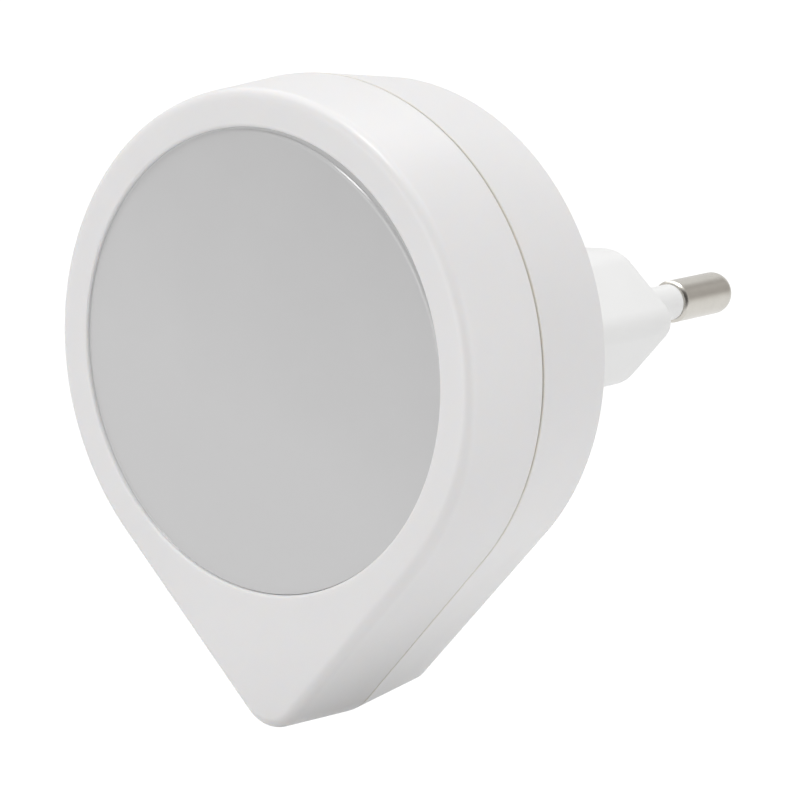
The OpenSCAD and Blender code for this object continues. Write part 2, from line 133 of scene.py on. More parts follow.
class LensSizes(bpy.types.PropertyGroup):
    lift: length("Lift", "How much further forward the lens's high side lies", 0.18)
    high_side: angle("High Side", "Where the lens lies furthest forward, as an angle from the right", 56)
    rim: length("Front Rim", "Width of the rim beside the raised plate, on the high side", 0.38)
    step: length("Step", "How far the plate stands out of the rim, on the high side", 0.30)
    rounding: length("Rounding", "Rounding of the plate's edge", 0.45)
    facet_start: share_of("Facet Start", "Where the facet on the rounding starts, as a share of it", 0.70)
    facet_end: share_of("Facet End", "Where that facet ends, as a share of the rounding", 0.88)
    facet_tilt: angle("Facet Tilt", "Tilt of the facet out of the lens's face", 53.5)
    edge_curve: length("Edge Curve", "How wide the lens curves up to the window's wall, on the left", 0.2)
    gap: length("Gap", "Width of the open joint between lens and window, at the lower right", 0.08)
    gap_depth: length("Gap Depth", "Depth of that joint", 0.12)
    thickness: length("Thickness", "Thickness of the lens", 1.5)
    edge: length("Thick Edge", "Width of the thick edge round the lens's back", 1.2)


class PlugSizes(bpy.types.PropertyGroup):
    width: length("Width", "Width of the neck across its side corners", 35.3)
    height: length("Height", "Height of the neck", 12.6)
    side_r: length("Side Corner", "Rounding of the side corners", 2.0)
    slant_r: length("Slant Corner", "Rounding of the corners between slants and flats", 4.0)
    end_round: length("End Rounding", "Rounding of the edge round the plug's face", 0.4)
    wall: length("Wall", "Thickness of the neck's wall", 2.0)
    end_t: length("End", "Thickness of the neck's end", 5.0)
    flange_w: length("Flange Width", "Width of the flange inside the casing", 1.8)
    flange_t: length("Flange Thickness", "Thickness of the flange", 1.5)
    pin_spacing: length("Pin Spacing", "Distance between the pins at the plug's face", 18.6)
    pin_lean: angle("Pin Lean", "Lean of each pin towards the other", 1)
    pin_r: length("Pin Radius", "Radius of a pin's bare end", 2.0)
    pin_l: length("Pin Length", "Length of a pin beyond the plug's face", 19.4)
    bare_l: length("Bare Length", "Length of a pin's bare end", 8.75)
    nose_round: length("Nose Rounding", "Rounding of a pin's nose", 1.5)
    collar_r: length("Collar Radius", "Radius of the crowned chamfer on the bare end beside the sleeve", 0.8)
    collar_gap: length("Collar Gap", "Gap between a sleeve and the bare end", 0.09)
    core_r: length("Core Radius", "Radius of a pin inside its sleeve", 1.25)
    sleeve_r: length("Sleeve Radius", "Radius of a pin's plastic sleeve", 1.7)
    sleeve_round: length("Sleeve Rounding", "Rounding of a sleeve's end", 0.08)
    sleeve_sink: length("Sleeve Sink", "How far a sleeve starts inside the plug's face", 2.5)
    head_r: length("Head Radius", "Radius of a pin's head inside the plug", 2.8)
    head_t: length("Head Thickness", "Thickness of a pin's head", 1.2)
    tail_r: length("Tail Radius", "Radius of the tail that a lead is joined to", 1.0)
    tail_l: length("Tail Length", "Length of that tail", 5.0)


class Colours(bpy.types.PropertyGroup):
    casing: colour("Casing", "White of the two shells", (0.83, 0.822, 0.824))
    # Colour of the painted shade along the joint between the shells, darker and warmer than their white
    seam: colour("Seam", "White of the shells in the joint between them", (0.76, 0.735, 0.69))
    lens: colour("Lens", "Opal of the lens", (0.55, 0.548, 0.55))
    plug: colour("Plug", "White of the plug and sleeves", (0.88, 0.88, 0.875))
    pins: colour("Pins", "Nickel of the pins", (0.67, 0.648, 0.60))


class StageSettings(bpy.types.PropertyGroup):
    floor_drop: length("Floor Drop", "Height of the night light above the floor", 300)
    distance: length("Camera Distance", "From the camera to the point it looks at", 253.84)
    azimuth: angle("Azimuth", "Turn of the camera to the right of the front", 39.752)
    elevation: angle("Elevation", "Height of the camera as an angle", 9.152)
    roll: angle("Roll", "Roll of the camera", -1.807)
    target: FloatVectorProperty(name="Target", description="Point that the camera looks at", size=3,
                                default=(15.862 * MM, FRONT_Y, -1.869 * MM), subtype='TRANSLATION')
    focal: FloatProperty(name="Focal Length", description="Focal length in millimetres", default=140.58)
    ambient: share_of("Ambient", "Strength of the white surroundings", 0.385)


GROUPS = {"casing": CasingSizes, "lens": LensSizes, "plug": PlugSizes, "colours": Colours,
          "stage": StageSettings}


class NightLight(bpy.types.PropertyGroup):
    casing: PointerProperty(type=CasingSizes)
    lens: PointerProperty(type=LensSizes)
    plug: PointerProperty(type=PlugSizes)
    colours: PointerProperty(type=Colours)
    stage: PointerProperty(type=StageSettings)


# ------------------------------------------------------------
# Nodes

# How nodes are laid out: nodes in a row, and the room for each across and down
ROW_NODES, NODE_W, NODE_H = 12, 190, 260


def add_node(tree, kind, links=(), **settings):
    """A new node with its settings, whose inputs take the given values or sockets."""
    row, column = divmod(len(tree.nodes), ROW_NODES)
    made = tree.nodes.new(kind)
    made.location = (column * NODE_W, -row * NODE_H)
    for key, value in settings.items():
        setattr(made, key, value)
    for socket, value in dict(links).items():
        if isinstance(value, bpy.types.NodeSocket):
            tree.links.new(value, made.inputs[socket])
        else:
            made.inputs[socket].default_value = value
    return made


def either(tree, *flags):
    """1 where any of the flags is 1."""
    total = flags[0]
    for flag in flags[1:]:
        total = add_node(tree, 'ShaderNodeMath', {0: total, 1: flag}, operation='MAXIMUM').outputs[0]
    return total


def blend(tree, share, a, b):
    """Colour a where share is 0, b where it is 1; each is a colour or a socket."""
    return add_node(tree, 'ShaderNodeMix', {"Factor": share, 6: a, 7: b}, data_type='RGBA').outputs[2]


def spread(tree, value, start, end, low, high):
    """A value from start to end, spread from low to high."""
    return add_node(tree, 'ShaderNodeMapRange', {"Value": value, "From Min": start, "From Max": end,
                                                 "To Min": low, "To Max": high}).outputs["Result"]


SOCKETS = {float: 'NodeSocketFloat', int: 'NodeSocketInt', bpy.types.Material: 'NodeSocketMaterial'}


class Tree:
    """A Geometry Nodes tree that makes one grid of points: a section, repeated round an outline."""

    def __init__(self, name, inputs):
        self.tree = bpy.data.node_groups.new(name, 'GeometryNodeTree')
        self.tree.interface.new_socket("Geometry", in_out='OUTPUT', socket_type='NodeSocketGeometry')
        self.tree.interface.new_socket("Section", in_out='INPUT', socket_type='NodeSocketGeometry')
        for label, kind in inputs.items():
            self.tree.interface.new_socket(label, in_out='INPUT', socket_type=SOCKETS[kind])
        self.inputs = self.node('NodeGroupInput').outputs

    def node(self, kind, links=(), **settings):
        """A new node in this tree."""
        return add_node(self.tree, kind, links, **settings)

    def math(self, operation, *values):
        """The result of one sum."""
        return self.node('ShaderNodeMath', enumerate(values), operation=operation).outputs[0]

    def mix(self, share, a, b):
        """a where share is 0, b where it is 1."""
        return self.math('MULTIPLY_ADD', share, self.math('SUBTRACT', b, a), a)

    def around(self, steps):
        """The grid, the step round the outline that a point is on, and its place in the section."""
        section = self.inputs["Section"]
        count = self.node('GeometryNodeAttributeDomainSize', {"Geometry": section}).outputs["Point Count"]
        index = self.node('GeometryNodeInputIndex').outputs[0]
        grid = self.node('GeometryNodeMeshGrid', {"Vertices X": self.math('ADD', steps, 1.0),
                                                  "Vertices Y": count}).outputs["Mesh"]
        row = self.math('FLOOR', self.math('DIVIDE', self.math('ADD', index, 0.5), count))
        step = self.math('MODULO', row, steps)
        place = self.node('GeometryNodeSampleIndex', data_type='FLOAT_VECTOR', links={
            "Geometry": section, "Value": self.node('GeometryNodeInputPosition').outputs[0],
            "Index": self.math('MODULO', index, count)})
        return grid, step, self.node('ShaderNodeSeparateXYZ', {0: place.outputs["Value"]}).outputs

    def finish(self, grid, x, y, z):
        """Moves the grid's points to their places, closes the ring and gives it its finish."""
        place = self.node('ShaderNodeCombineXYZ', {0: x, 1: y, 2: z}).outputs[0]
        moved = self.node('GeometryNodeSetPosition', {"Geometry": grid, "Position": place}).outputs[0]
        merged = self.node('GeometryNodeMergeByDistance', {"Geometry": moved, "Distance": TINY}).outputs[0]
        smooth = self.node('GeometryNodeSetShadeSmooth', {"Geometry": merged}).outputs[0]
        real = self.node('GeometryNodeRealizeInstances', {"Geometry": smooth}).outputs[0]
        painted = self.node('GeometryNodeSetMaterial', {"Geometry": real, "Material": self.inputs["Finish"]})
        self.node('NodeGroupOutput', {0: painted.outputs[0]})
        return self.tree


def drop_tree():
    """Sweeps a section round the drop: a large circle, a small one below it, and their tangents.

    A point of the section has its distance inwards as -x and its depth as y. Between the parting and
    the edge the drop's two radii and its reach change evenly, which gives the casing its draft."""
    tree = Tree(drop_tree.__name__, {
        "Round Radius": float, "Tip Reach": float, "Tip Radius": float,
        "Edge Round Radius": float, "Edge Tip Reach": float, "Edge Tip Radius": float,
        "Parting Depth": float, "Edge Depth": float, "Front": float,
        "Round Steps": int, "Tip Steps": int, "Finish": bpy.types.Material})
    given, math, mix = tree.inputs, tree.math, tree.mix
    steps = math('ADD', math('ADD', given["Round Steps"], given["Tip Steps"]), 2.0)
    grid, step, (grow, depth, _) = tree.around(steps)
    share = tree.node('ShaderNodeMapRange', {"Value": depth, "From Min": given["Parting Depth"],
                                             "From Max": given["Edge Depth"]}).outputs[0]
    round_r = math('ADD', mix(share, given["Round Radius"], given["Edge Round Radius"]), grow)
    tip_r = math('ADD', mix(share, given["Tip Radius"], given["Edge Tip Radius"]), grow)
    reach = math('ADD', mix(share, given["Tip Reach"], given["Edge Tip Reach"]), grow)
    drop = math('SUBTRACT', reach, tip_r)
    flank = math('ARCCOSINE', math('DIVIDE', math('SUBTRACT', round_r, tip_r), drop))
    # Angles run from straight down: round the large circle first, then round the tip
    on_tip = math('GREATER_THAN', step, math('ADD', given["Round Steps"], 0.5))
    tip_step = math('SUBTRACT', math('SUBTRACT', step, given["Round Steps"]), 1.0)
    round_angle = mix(math('DIVIDE', step, given["Round Steps"]), flank, math('SUBTRACT', 2 * pi, flank))
    tip_angle = mix(math('DIVIDE', tip_step, given["Tip Steps"]), math('MULTIPLY', flank, -1.0), flank)
    angle = mix(on_tip, round_angle, tip_angle)
    radius = mix(on_tip, round_r, tip_r)
    middle = math('MULTIPLY', math('MULTIPLY', on_tip, drop), -1.0)
    return tree.finish(grid,
                       math('MULTIPLY', radius, math('SINE', angle)),
                       math('ADD', depth, given["Front"]),
                       math('SUBTRACT', middle, math('MULTIPLY', radius, math('COSINE', angle))))


def turned_tree():
    """Turns a section round an axis along y. A point of the section has its radius as x."""
    tree = Tree(turned_tree.__name__, {"Steps": int, "Finish": bpy.types.Material})
    grid, step, (radius, along, _) = tree.around(tree.inputs["Steps"])
    angle = tree.math('MULTIPLY', tree.math('DIVIDE', step, tree.inputs["Steps"]), 2 * pi)
    return tree.finish(grid, tree.math('MULTIPLY', radius, tree.math('COSINE', angle)), along,
                       tree.math('MULTIPLY', radius, tree.math('SINE', angle)))


def run_tree(build, section, values):
    """The plain mesh that a tree makes from a section's points."""
    tree = bpy.data.node_groups.get(build.__name__) or build()
    points = bpy.data.meshes.new(tree.name)
    points.from_pydata([(x, y, 0) for x, y in section], [], [])
    holder = bpy.data.objects.new(tree.name, points)
    nodes = holder.modifiers.new(tree.name, 'NODES')
    nodes.node_group = tree
    for item in tree.interface.items_tree:
        if item.in_out == 'INPUT' and item.name in values:
            nodes[item.identifier] = values[item.name]
    bpy.context.scene.collection.objects.link(holder)
    mesh = bpy.data.meshes.new_from_object(holder.evaluated_get(bpy.context.evaluated_depsgraph_get()))
    holder.modifiers.remove(nodes)
    bpy.data.objects.remove(holder)
    return mesh


# ------------------------------------------------------------
# Mesh helpers

def arc(cx, cy, r, start, end, steps):
    """Points of an arc, its angles in degrees."""
    angles = [radians(start + (end - start) * i / steps) for i in range(steps + 1)]
    return [(cx + r * cos(a), cy + r * sin(a)) for a in angles]


def add_rings(bm, rings):
    """Faces between closed rings that have the same number of points."""
    loops = [[bm.verts.new(point) for point in ring] for ring in rings]
    for a, b in zip(loops, loops[1:]):
        for i in range(len(a)):
            j = (i + 1) % len(a)
            bm.faces.new((a[i], a[j], b[j], b[i]))


def fill_flat(bm, y):
    """Closes the open edges that lie at depth y with one flat face, round its openings."""
    edges = [e for e in bm.edges if e.is_boundary and all(abs(v.co.y - y) < TINY for v in e.verts)]
    bmesh.ops.triangle_fill(bm, use_beauty=True, edges=edges)


def circle(r, y, steps):
    """A ring of points round the y axis, at depth y."""
    return [(r * cos(2 * pi * i / steps), y, r * sin(2 * pi * i / steps)) for i in range(steps)]


def hexagon(plug, grow, y):
    """The neck's outline at depth y, grown all round: a flat hexagon with rounded corners."""
    w, h = plug.width / 2 + grow * sqrt(2), plug.height / 2 + grow
    side_r, slant_r = (max(r + grow, LEAST_CORNER) for r in (plug.side_r, plug.slant_r))
    side = w - side_r * sqrt(2)
    slant_x, slant_z = w - h - slant_r * tan(radians(45 / 2)), h - slant_r
    corners = ((side, 0, side_r, -45, 45), (slant_x, slant_z, slant_r, 45, 90),
               (-slant_x, slant_z, slant_r, 90, 135), (-side, 0, side_r, 135, 225),
               (-slant_x, -slant_z, slant_r, 225, 270), (slant_x, -slant_z, slant_r, 270, 315))
    return [(x, y, z) for corner in corners for x, z in arc(*corner, CORNER_STEPS)]


def piece_from(name, bm, finish, node):
    """A finished piece that stands for one CAD node."""
    bmesh.ops.remove_doubles(bm, verts=bm.verts, dist=TINY)
    bmesh.ops.recalc_face_normals(bm, faces=bm.faces)
    mesh = bpy.data.meshes.new(name)
    bm.to_mesh(mesh)
    bm.free()
    mesh.shade_smooth()
    mesh.set_sharp_from_angle(angle=SHARP)
    mesh.materials.append(finish)
    for polygon in mesh.polygons:
        polygon.material_index = 0
    piece = bpy.data.objects.new(name, mesh)
    bpy.context.scene.collection.objects.link(piece)
    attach(piece, "root")
    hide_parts(node)
    return piece


# ------------------------------------------------------------
# Finishes

# Most of a noise lies between these
NOISE_SPAN = (0.3, 0.7)
# Size of the faint clouds in moulded plastic, and of the patches in its gloss
CLOUD, PATCH = 14 * MM, 3 * MM
# Heights of the grain on moulded, polished and inner surfaces
MOULD_GRAIN, POLISHED_GRAIN, INNER_GRAIN = 0.0005 * MM, 0.0006 * MM, 0.004 * MM


class Finish:
    """A material on Object coordinates, with short calls for its patterns."""

    def __init__(self, name, **values):
        self.material = bpy.data.materials.new(name)
        self.material.use_nodes = True
        self.tree = self.material.node_tree
        self.shader = self.tree.nodes["Principled BSDF"].inputs
        self.coordinates = self.node('ShaderNodeTexCoord').outputs["Object"]
        for socket, value in values.items():
            self.shader[socket.replace("_", " ")].default_value = value

    def node(self, kind, links=(), **settings):
        """A new node in this tree."""
        return add_node(self.tree, kind, links, **settings)

    def noise(self, size, detail, stretch=(1, 1, 1)):
        """Noise whose features are about size across, in metres."""
        mapping = self.node('ShaderNodeMapping', {"Vector": self.coordinates, "Scale": stretch})
        return self.node('ShaderNodeTexNoise', {"Vector": mapping.outputs["Vector"], "Scale": 1 / size,
                                                "Detail": detail}).outputs["Fac"]

    def slope(self, pattern, strength, rise):
        """The pattern at a strength, on a slope that rises by so much per metre."""
        slope = self.node('ShaderNodeVectorMath', {0: self.coordinates, 1: rise}, operation='DOT_PRODUCT')
        return self.node('ShaderNodeMath', {0: pattern, 1: strength, 2: slope.outputs["Value"]},
                         operation='MULTIPLY_ADD').outputs[0]

    def colours(self, pattern, *stops):
        """Colours the surface by a pattern, between two (place, colour) pairs."""
        ramp = self.node('ShaderNodeValToRGB', {"Fac": pattern})
        for element, (place, rgb) in zip(ramp.color_ramp.elements, stops):
            element.position, element.color = place, (*rgb, 1)
        self.tree.links.new(ramp.outputs["Color"], self.shader["Base Color"])

    def line(self, depth, half, rgb):
        """Another colour along a line round the piece, at one depth along y."""
        parts = self.node('ShaderNodeSeparateXYZ', {0: self.coordinates})
        inside = self.node('ShaderNodeMath', {0: parts.outputs["Y"], 1: depth, 2: half}, operation='COMPARE')
        base = self.shader["Base Color"]
        mixed = blend(self.tree, inside.outputs[0], base.links[0].from_socket, (*rgb, 1))
        self.tree.links.new(mixed, base)

    def rough(self, noise, low, high):
        """Roughness that runs from low to high with a noise."""
        self.tree.links.new(spread(self.tree, noise, *NOISE_SPAN, low, high), self.shader["Roughness"])

    def dents(self, pattern, height):
        """Bump of a real height, in metres."""
        bump = self.node('ShaderNodeBump', {"Height": pattern, "Distance": height, "Strength": 1})
        self.tree.links.new(bump.outputs["Normal"], self.shader["Normal"])


def shade(rgb, factor):
    """A colour made darker or lighter."""
    return tuple(min(1, c * factor) for c in rgb)


def moulded(name, rgb, rough, grain=0.25, **values):
    """Moulded plastic: fine grain of so many millimetres, and gloss and colour that vary a little."""
    finish = Finish(name, Specular_IOR_Level=0.5, **values)
    finish.colours(finish.noise(CLOUD, 3), (0.35, shade(rgb, 0.985)), (0.65, rgb))
    finish.rough(finish.noise(PATCH, 4), *rough)
    finish.dents(finish.noise(grain * MM, 2), MOULD_GRAIN)
    return finish


def casing_white(casing, colours):
    """The shells' plastic, which light enters a little way, with painted shade along their joint: a darker,
    warmer line.
    """
    finish = moulded("casing_white", colours.casing, rough=(0.29, 0.34), Subsurface_Weight=0.5,
                     Subsurface_Scale=0.4 * MM, Subsurface_Radius=(1, 0.85, 0.7))
    # Painted shade along the joint: the shells' colour turns darker and warmer in a narrow band round it
    finish.line(FRONT_Y + casing.front_depth + casing.seam_gap / 2, casing.seam_shade_half, colours.seam)
    return finish.material


def opal_lens(rgb):
    """Opal plastic, with painted shade: darker towards its upper right and lighter towards its lower left."""
    finish = Finish("opal_lens", Specular_IOR_Level=0.5)
    # Painted shade: a slope across the lens, with a little noise, darkens its colour towards the upper right
    # and lightens it towards the lower left
    painted_shade = finish.slope(finish.noise(9 * MM, 3), 0.06, (2.4, 0, 4.8))
    finish.colours(painted_shade, (0.0, shade(rgb, 1.13)), (0.26, shade(rgb, 0.87)))
    finish.rough(finish.noise(PATCH, 4), 0.13, 0.18)
    finish.dents(finish.noise(0.2 * MM, 2), POLISHED_GRAIN)
    return finish.material


def plug_white(rgb):
    """The neck's plastic, a little whiter and glossier than the shells'."""
    return moulded("plug_white", rgb, rough=(0.285, 0.33), grain=0.3).material


def pin_nickel(rgb):
    """Nickel plating over turned brass, with fine rings round the pin."""
    finish = Finish("pin_nickel", Metallic=1.0)
    finish.colours(finish.noise(PATCH, 3), (NOISE_SPAN[0], shade(rgb, 0.92)), (NOISE_SPAN[1], rgb))
    rings = finish.noise(0.12 * MM, 2, stretch=(0.02, 1, 0.02))
    finish.rough(rings, 0.16, 0.26)
    finish.dents(rings, POLISHED_GRAIN)
    return finish.material


def plain(name, rgb, rough, size, contrast=0.9, **values):
    """A finish for the inner parts: colour and gloss that vary over about size millimetres."""
    finish = Finish(name, **values)
    pattern = finish.noise(size * MM, 3)
    finish.colours(pattern, (NOISE_SPAN[0], shade(rgb, contrast)), (NOISE_SPAN[1], rgb))
    finish.rough(pattern, *rough)
    finish.dents(finish.noise(size * MM / 6, 2), INNER_GRAIN)
    return finish.material


# Each inner finish: its name, colour, roughness, grain in millimetres and other values, and the starts of
# the names of the parts that have it
INNER_FINISHES = (
    ("reflector_white", (0.86, 0.86, 0.85), (0.25, 0.35), 2.0, {}, ("reflector",)),
    ("board", (0.03, 0.16, 0.06), (0.3, 0.45), 4.0, {}, ("circuit_board",)),
    ("led", (0.85, 0.62, 0.14), (0.2, 0.35), 0.8, {}, ("led_",)),
    ("capacitor_yellow", (0.72, 0.42, 0.04), (0.3, 0.4), 2.0, {}, ("film_capacitor",)),
    ("component_black", (0.02, 0.02, 0.022), (0.3, 0.5), 1.0, {"contrast": 0.6},
     ("smoothing_capacitor", "bridge_rectifier", "zener_diode")),
    ("resistor_tan", (0.52, 0.40, 0.24), (0.35, 0.5), 1.0, {}, ("fusible_resistor", "bleed_resistor")),
    ("screw_steel", (0.52, 0.52, 0.54), (0.2, 0.35), 0.5, {"Metallic": 1.0}, ("board_screws", "clamp_screw")),
    ("clamp_white", (0.82, 0.82, 0.81), (0.3, 0.4), 2.0, {}, ("pin_clamp",)),
    ("lead_brown", (0.16, 0.065, 0.025), (0.4, 0.5), 1.0, {}, ("live_lead",)),
    ("lead_blue", (0.03, 0.09, 0.42), (0.4, 0.5), 1.0, {}, ("neutral_lead",)),
)


# ------------------------------------------------------------
# Pieces

# In a section, hold is how far a row of points lies beside a rounding, which keeps the flat beside it flat
# How fast the joint narrows below the middle: it is narrowest from two thirds of the way to the tip
SEAM_CLOSING = 1.5
# How fast the lens's lift, the plate's step and the rim's width change towards the high side, as powers
LIFT_POWER, STEP_POWER, RIM_POWER = 3, 10, 14
# How far the lens's edge turns up towards the window's wall
EDGE_TURN = radians(70)
# Which part of a circle the crowned chamfer beside the sleeve is, in degrees from its axis
COLLAR_ARC = (25, 55)
# The side on which the joint between lens and window is open
GAP_SIDE = Vector((0.45, 0, -0.9))


def drop_values(casing, edge, finish):
    """The inputs of the drop sweep, for the front edge or the back edge."""
    front = edge == "front"
    return {
        "Round Radius": ROUND_R, "Tip Reach": TIP_REACH, "Tip Radius": casing.tip_r,
        "Edge Round Radius": ROUND_R - (casing.front_taper if front else casing.rear_taper),
        "Edge Tip Reach": TIP_REACH - (casing.front_tip_taper if front else casing.rear_tip_taper),
        "Edge Tip Radius": casing.front_tip_r if front else casing.rear_tip_r,
        "Parting Depth": casing.front_depth if front else casing.front_depth + casing.seam_gap,
        "Edge Depth": casing.front_round if front else BACK_Y - FRONT_Y - casing.rear_round,
        "Front": FRONT_Y, "Round Steps": casing.round_steps, "Tip Steps": casing.tip_steps, "Finish": finish}


def window_radius(casing):
    """Radius of the window's wall."""
    return ROUND_R - casing.front_taper - casing.frame_w


def window_rounding(casing, lens, x, z):
    """How wide the window's edge is rounded in one direction from its middle."""
    towards = (x * cos(lens.high_side) + z * sin(lens.high_side)) / sqrt(x * x + z * z)
    return casing.window_round * (1 + casing.window_least + (1 - casing.window_least) * towards) / 2


def window_ring(casing, lens, out, deep):
    """A ring on the window's rounded edge, at shares of its rounding out of the wall and into the face."""
    r, ring = window_radius(casing), []
    for x, _, z in circle(r, 0, WINDOW_STEPS):
        lip = window_rounding(casing, lens, x, z)
        ring.append((x * (1 + out * lip / r), FRONT_Y + deep * lip, z * (1 + out * lip / r)))
    return ring


def front_shell(casing, lens, finish):
    """The front shell: its face with the round window, its drafted side and the rebate for the tongue."""
    r, lip, wall = casing.front_round, casing.seam_round, casing.wall
    rim, tongue = casing.front_depth, casing.front_depth - casing.tongue_l
    rebate = wall - casing.tongue_t - casing.slip / 2
    hold = 0.06 * MM
    section = ([(-r - hold, 0)] + arc(-r, r, r, -90, 0, 10) + [(0, r + hold), (0, rim - lip - hold)]
               + arc(-lip, rim - lip, lip, 0, 90, 4)
               + [(-rebate, rim), (-rebate, tongue), (-wall, tongue), (-wall, casing.face_t)])
    bm = bmesh.new()
    bm.from_mesh(run_tree(drop_tree, section, drop_values(casing, "front", finish)))
    window_r = window_radius(casing)
    add_rings(bm, [circle(window_r + casing.window_round + hold, FRONT_Y, WINDOW_STEPS),
                   *[window_ring(casing, lens, 1 - sine, 1 - cosine) for sine, cosine in QUARTER],
                   circle(window_r, FRONT_Y + casing.face_t, WINDOW_STEPS)])
    bmesh.ops.remove_doubles(bm, verts=bm.verts, dist=TINY)
    fill_flat(bm, FRONT_Y)
    fill_flat(bm, FRONT_Y + casing.face_t)
    return piece_from("front_casing", bm, finish, "front_shell")


def rear_shell(casing, plug, finish):
    """The rear shell: its tongue, its drafted side and the back with the neck's opening."""
    r, lip, wall = casing.rear_round, casing.seam_round, casing.wall
    rim, tongue = casing.front_depth + casing.seam_gap, casing.front_depth - casing.tongue_l
    end, inner = BACK_Y - FRONT_Y, BACK_Y - FRONT_Y - casing.back_t
    inset = casing.tongue_t - wall
    hold, chamfer = 0.05 * MM, 0.08 * MM
    section = ([(-wall, inner), (-wall, tongue), (inset, tongue), (inset, rim)]
               + arc(-lip, rim + lip, lip, -90, 0, 4) + [(0, rim + lip + hold), (0, end - r - hold)]
               + arc(-r, end - r, r, 0, 90, 8) + [(-r - hold, end)])
    bm = bmesh.new()
    bm.from_mesh(run_tree(drop_tree, section, drop_values(casing, "rear", finish)))
    for vert in bm.verts:
        if abs(vert.co.y - FRONT_Y - rim) < lip + 2 * hold:
            below = max(0, -vert.co.z / TIP_REACH)
            vert.co.y -= casing.seam_close * min(1, below * SEAM_CLOSING)
    add_rings(bm, [hexagon(plug, casing.slip, BACK_Y - casing.back_t),
                   hexagon(plug, casing.slip, BACK_Y - chamfer),
                   hexagon(plug, casing.slip + chamfer, BACK_Y)])
    bmesh.ops.remove_doubles(bm, verts=bm.verts, dist=TINY)
    fill_flat(bm, BACK_Y - casing.back_t)
    fill_flat(bm, BACK_Y)
    return piece_from("rear_casing", bm, finish, "rear_shell")


def turned_piece(section, steps, finish):
    """A closed bmesh of a section turned round the y axis."""
    bm = bmesh.new()
    bm.from_mesh(run_tree(turned_tree, section, {"Steps": steps, "Finish": finish}))
    bmesh.ops.remove_doubles(bm, verts=bm.verts, dist=TINY)
    return bm


def plate_edge(lens, across):
    """Height of the plate's edge over the rim, as a share: an arc, a facet and a steep end."""
    slope = tan(lens.facet_tilt) * lens.rounding / lens.step
    facet = sqrt(1 - lens.facet_start ** 2) - slope * (min(across, lens.facet_end) - lens.facet_start)
    if across < lens.facet_start:
        return sqrt(1 - max(0, across) ** 2)
    if across < lens.facet_end:
        return facet
    return max(0, facet * (1 - across) / (1 - lens.facet_end))


def disc_section(casing, lens, plate, hold):
    """The lens's section, with a front that is still flat, a groove's depth at its edge and a flange."""
    r, face, back = window_radius(casing), FRONT_Y + casing.face_t, LENS_Y + lens.thickness
    start, end, hollow, q = lens.facet_start, lens.facet_end, r - lens.edge, lens.rounding
    across = (0, 0.2, 0.4, 0.55, 0.65, start, start + 0.02, end - 0.02, end, (1 + end) / 2, 1)
    front = [0, plate * 0.5, plate * 0.9, *[plate - q + q * share for share in across],
             plate + hold, *[r - hold + hold * i / 6 for i in range(7)]]
    return ([(x, LENS_Y) for x in front]
            + [(r, LENS_Y + lens.gap_depth), (r, face), (FLANGE_R, face), (FLANGE_R, LENS_BACK_Y),
               (hollow, LENS_BACK_Y), (hollow, back), (0, back)])


def opal_disc(casing, lens, finish):
    """The lens: it leans forward on its high side, where a plate with a rounded edge stands out of a rim.

    The rim curves up to the window's wall on the left, and leaves a groove at the lower right."""
    r = window_radius(casing)
    plate, hold = r - lens.rim, 0.02 * MM
    bm = turned_piece(disc_section(casing, lens, plate, hold), WINDOW_STEPS, finish)
    high = Vector((cos(lens.high_side), 0, sin(lens.high_side)))
    for vert in bm.verts:
        if vert.co.y > LENS_Y + TINY:
            continue
        out = max(TINY, Vector((vert.co.x, vert.co.z)).length)
        share, along = (vert.co.dot(high) / r + 1) / 2, (vert.co.dot(high) / out + 1) / 2
        curve = lens.edge_curve * ((1 - vert.co.x / out) / 2) ** 2
        gap = lens.gap * (max(0, vert.co.dot(GAP_SIDE)) / out) ** 2
        vert.co.y -= lens.lift * share ** LIFT_POWER
        if out < plate + hold / 2:
            across = (out - plate + lens.rounding) / lens.rounding
            vert.co.y -= lens.step * share ** STEP_POWER * plate_edge(lens, across)
        if out < plate + 2 * hold:
            rim = curve + gap + 2 * hold
            grow = (r - rim - (lens.rim - rim) * along ** RIM_POWER) / plate
        else:
            # The rim's outer edge curves up to the window's wall and follows its rounding
            turn = EDGE_TURN * (out - r + hold) / hold
            vert.co.y -= curve * (1 - cos(turn))
            lip = window_rounding(casing, lens, vert.co.x, vert.co.z)
            depth = min(vert.co.y - FRONT_Y, lip) / lip
            wall = lip * (1 - sqrt(1 - (1 - depth) ** 2))
            inwards = gap + curve * (1 - sin(turn) / sin(EDGE_TURN)) + hold * (1 - turn / EDGE_TURN)
            grow = (r - inwards + wall) / out
        vert.co.x, vert.co.z = vert.co.x * grow, vert.co.z * grow
    return piece_from("opal_disc", bm, finish, "diffuser")


def along_pin(plug, side):
    """Where a pin stands: its own y axis leans towards the other pin from the plug's face."""
    foot = Matrix.Translation((side * plug.pin_spacing / 2, PLUG_Y, 0))
    return foot @ Matrix.Rotation(side * plug.pin_lean, 4, 'Z')


